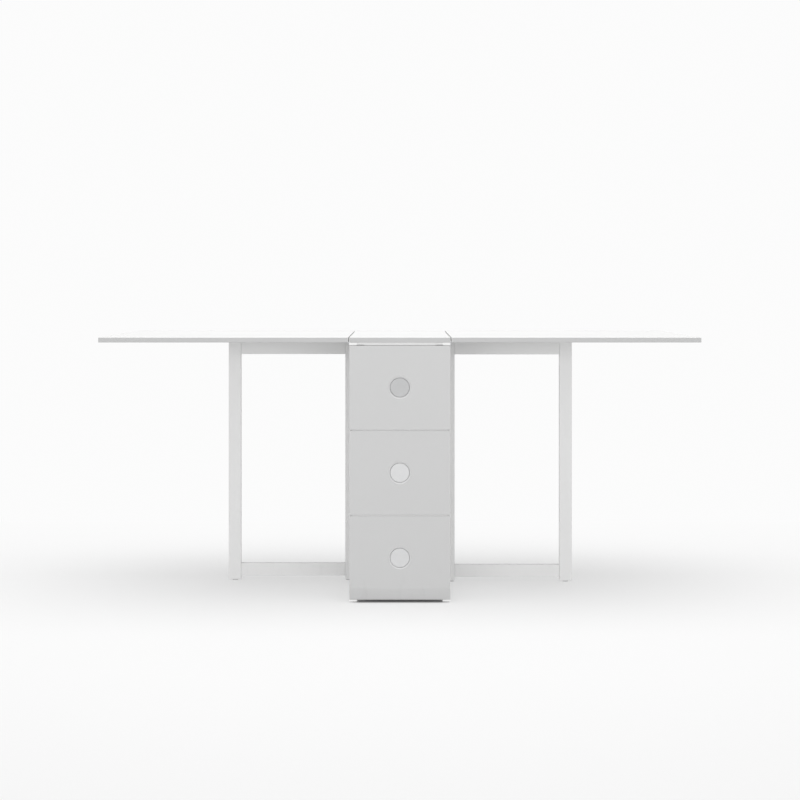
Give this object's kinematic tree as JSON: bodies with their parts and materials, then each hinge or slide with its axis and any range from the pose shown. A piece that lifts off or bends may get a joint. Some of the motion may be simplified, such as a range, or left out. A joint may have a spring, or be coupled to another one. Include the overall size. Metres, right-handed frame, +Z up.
{
  "type": "gateleg table",
  "caption": "Gateleg table: slim drawer cabinet under a fixed middle top, a leaf on each side resting on a frame gate that swings out of a side pocket.",
  "frame": {"origin": "on the floor under the middle of the table, the centre of the box's bottom", "axes": "+Z up, +X along the two leaves towards the right one, -Y towards the near end, so +Y is away from it"},
  "size_m": [1.704, 0.85, 0.75],
  "materials": {
    "top_lacquer": "satin white lacquer on board",
    "cabinet_lacquer": "satin white lacquer on board",
    "gate_lacquer": "satin white lacquer on solid wood",
    "face_lacquer": "satin off-white lacquer on board",
    "inner_board": "white foil on board, a little duller",
    "button_metal": "turned, satin anodised",
    "zinc_steel": "zinc plated",
    "runner_steel": "white-grey zinc plated sheet",
    "glide_plastic": "matt moulded"
  },
  "bodies": {
    "cabinet": {"center_top": "top_lacquer", "inner_side_left": "cabinet_lacquer", "inner_side_right": "cabinet_lacquer", "outer_panel_left": "cabinet_lacquer", "outer_panel_right": "cabinet_lacquer", "post_near_left": "cabinet_lacquer", "post_near_right": "cabinet_lacquer", "post_far_left": "cabinet_lacquer", "post_far_right": "cabinet_lacquer", "pivot_post_left": "cabinet_lacquer", "pivot_post_right": "cabinet_lacquer", "divider": "inner_board", "bottom_panel": "inner_board", "cross_rails_near": "cabinet_lacquer", "cross_rails_far": "cabinet_lacquer", "runner_channels": "runner_steel", "post_glides": "glide_plastic", "pivot_brackets": "zinc_steel", "hinge_fixed_flaps": "zinc_steel", "hinge_pins": "zinc_steel"},
    "leaf_left": {"leaf_left": "top_lacquer", "hinge_leaf_flaps_left": "zinc_steel"},
    "leaf_right": {"leaf_right": "top_lacquer", "hinge_leaf_flaps_right": "zinc_steel"},
    "gate_left": {"gate_left_outer_stile": "gate_lacquer", "gate_left_inner_stile": "gate_lacquer", "gate_left_top_rail": "gate_lacquer", "gate_left_bottom_rail": "gate_lacquer", "gate_left_pins": "zinc_steel", "gate_left_glides": "glide_plastic"},
    "gate_right": {"gate_right_outer_stile": "gate_lacquer", "gate_right_inner_stile": "gate_lacquer", "gate_right_top_rail": "gate_lacquer", "gate_right_bottom_rail": "gate_lacquer", "gate_right_pins": "zinc_steel", "gate_right_glides": "glide_plastic"},
    "drawer_near_low": {"near_low_face": "face_lacquer", "near_low_box": "inner_board", "near_low_slides": "runner_steel"},
    "drawer_near_mid": {"near_mid_face": "face_lacquer", "near_mid_box": "inner_board", "near_mid_slides": "runner_steel"},
    "drawer_near_top": {"near_top_face": "face_lacquer", "near_top_box": "inner_board", "near_top_slides": "runner_steel"},
    "drawer_far_low": {"far_low_face": "face_lacquer", "far_low_box": "inner_board", "far_low_slides": "runner_steel"},
    "drawer_far_mid": {"far_mid_face": "face_lacquer", "far_mid_box": "inner_board", "far_mid_slides": "runner_steel"},
    "drawer_far_top": {"far_top_face": "face_lacquer", "far_top_box": "inner_board", "far_top_slides": "runner_steel"},
    "button_near_low": {"near_low_button": "button_metal"},
    "button_near_mid": {"near_mid_button": "button_metal"},
    "button_near_top": {"near_top_button": "button_metal"},
    "button_far_low": {"far_low_button": "button_metal"},
    "button_far_mid": {"far_mid_button": "button_metal"},
    "button_far_top": {"far_top_button": "button_metal"}
  },
  "joints": [
    {"name": "gate_left_swing", "type": "hinge", "parent": "cabinet", "child": "gate_left", "pos_m": [-0.132, 0.016, 0.37], "axis": [0, 0, 1], "range_deg": [0, 90]},
    {"name": "gate_right_swing", "type": "hinge", "parent": "cabinet", "child": "gate_right", "pos_m": [0.132, -0.016, 0.37], "axis": [0, 0, 1], "range_deg": [0, 90]},
    {"name": "leaf_left_lift", "type": "hinge", "parent": "cabinet", "child": "leaf_left", "pos_m": [-0.145, 0, 0.7315], "axis": [0, 1, 0], "range_deg": [0, 10]},
    {"name": "leaf_right_lift", "type": "hinge", "parent": "cabinet", "child": "leaf_right", "pos_m": [0.145, 0, 0.7315], "axis": [0, -1, 0], "range_deg": [0, 10]},
    {"name": "drawer_near_low_slide", "type": "slide", "parent": "cabinet", "child": "drawer_near_low", "axis": [0, -1, 0], "range_m": [0, 0.3]},
    {"name": "drawer_near_mid_slide", "type": "slide", "parent": "cabinet", "child": "drawer_near_mid", "axis": [0, -1, 0], "range_m": [0, 0.3]},
    {"name": "drawer_near_top_slide", "type": "slide", "parent": "cabinet", "child": "drawer_near_top", "axis": [0, -1, 0], "range_m": [0, 0.3]},
    {"name": "drawer_far_low_slide", "type": "slide", "parent": "cabinet", "child": "drawer_far_low", "axis": [0, 1, 0], "range_m": [0, 0.3]},
    {"name": "drawer_far_mid_slide", "type": "slide", "parent": "cabinet", "child": "drawer_far_mid", "axis": [0, 1, 0], "range_m": [0, 0.3]},
    {"name": "drawer_far_top_slide", "type": "slide", "parent": "cabinet", "child": "drawer_far_top", "axis": [0, 1, 0], "range_m": [0, 0.3]},
    {"name": "button_near_low_press", "type": "slide", "parent": "drawer_near_low", "child": "button_near_low", "axis": [0, 1, 0], "range_m": [0, 0.003], "stiffness_N_per_m": 400, "springref_m": -0.002},
    {"name": "button_near_mid_press", "type": "slide", "parent": "drawer_near_mid", "child": "button_near_mid", "axis": [0, 1, 0], "range_m": [0, 0.003], "stiffness_N_per_m": 400, "springref_m": -0.002},
    {"name": "button_near_top_press", "type": "slide", "parent": "drawer_near_top", "child": "button_near_top", "axis": [0, 1, 0], "range_m": [0, 0.003], "stiffness_N_per_m": 400, "springref_m": -0.002},
    {"name": "button_far_low_press", "type": "slide", "parent": "drawer_far_low", "child": "button_far_low", "axis": [0, -1, 0], "range_m": [0, 0.003], "stiffness_N_per_m": 400, "springref_m": -0.002},
    {"name": "button_far_mid_press", "type": "slide", "parent": "drawer_far_mid", "child": "button_far_mid", "axis": [0, -1, 0], "range_m": [0, 0.003], "stiffness_N_per_m": 400, "springref_m": -0.002},
    {"name": "button_far_top_press", "type": "slide", "parent": "drawer_far_top", "child": "button_far_top", "axis": [0, -1, 0], "range_m": [0, 0.003], "stiffness_N_per_m": 400, "springref_m": -0.002}
  ]
}
